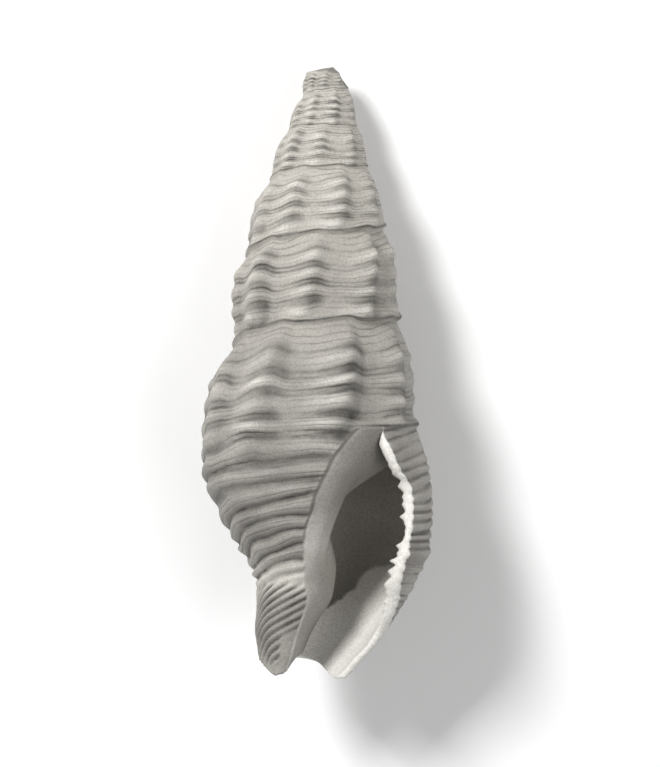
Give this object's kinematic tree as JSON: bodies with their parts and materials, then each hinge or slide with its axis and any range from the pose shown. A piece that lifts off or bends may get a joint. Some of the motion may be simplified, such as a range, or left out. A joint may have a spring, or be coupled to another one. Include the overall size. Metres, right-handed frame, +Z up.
{
  "type": "fossil phos shell",
  "caption": "Slender fossil sea snail shell with axial ribs, spiral cords, an open aperture and a broken tip, lying on its back.",
  "frame": {"origin": "centre of the shell's bounding box in plan, on the surface that the shell rests on", "axes": "+Y along the shell towards its tip, +X to the aperture's side, +Z up, the way the aperture faces"},
  "size_m": [0.0152, 0.039, 0.0141],
  "materials": {
    "fossil_shell": "matt"
  },
  "bodies": {
    "root": {"shell": "fossil_shell"}
  },
  "joints": []
}
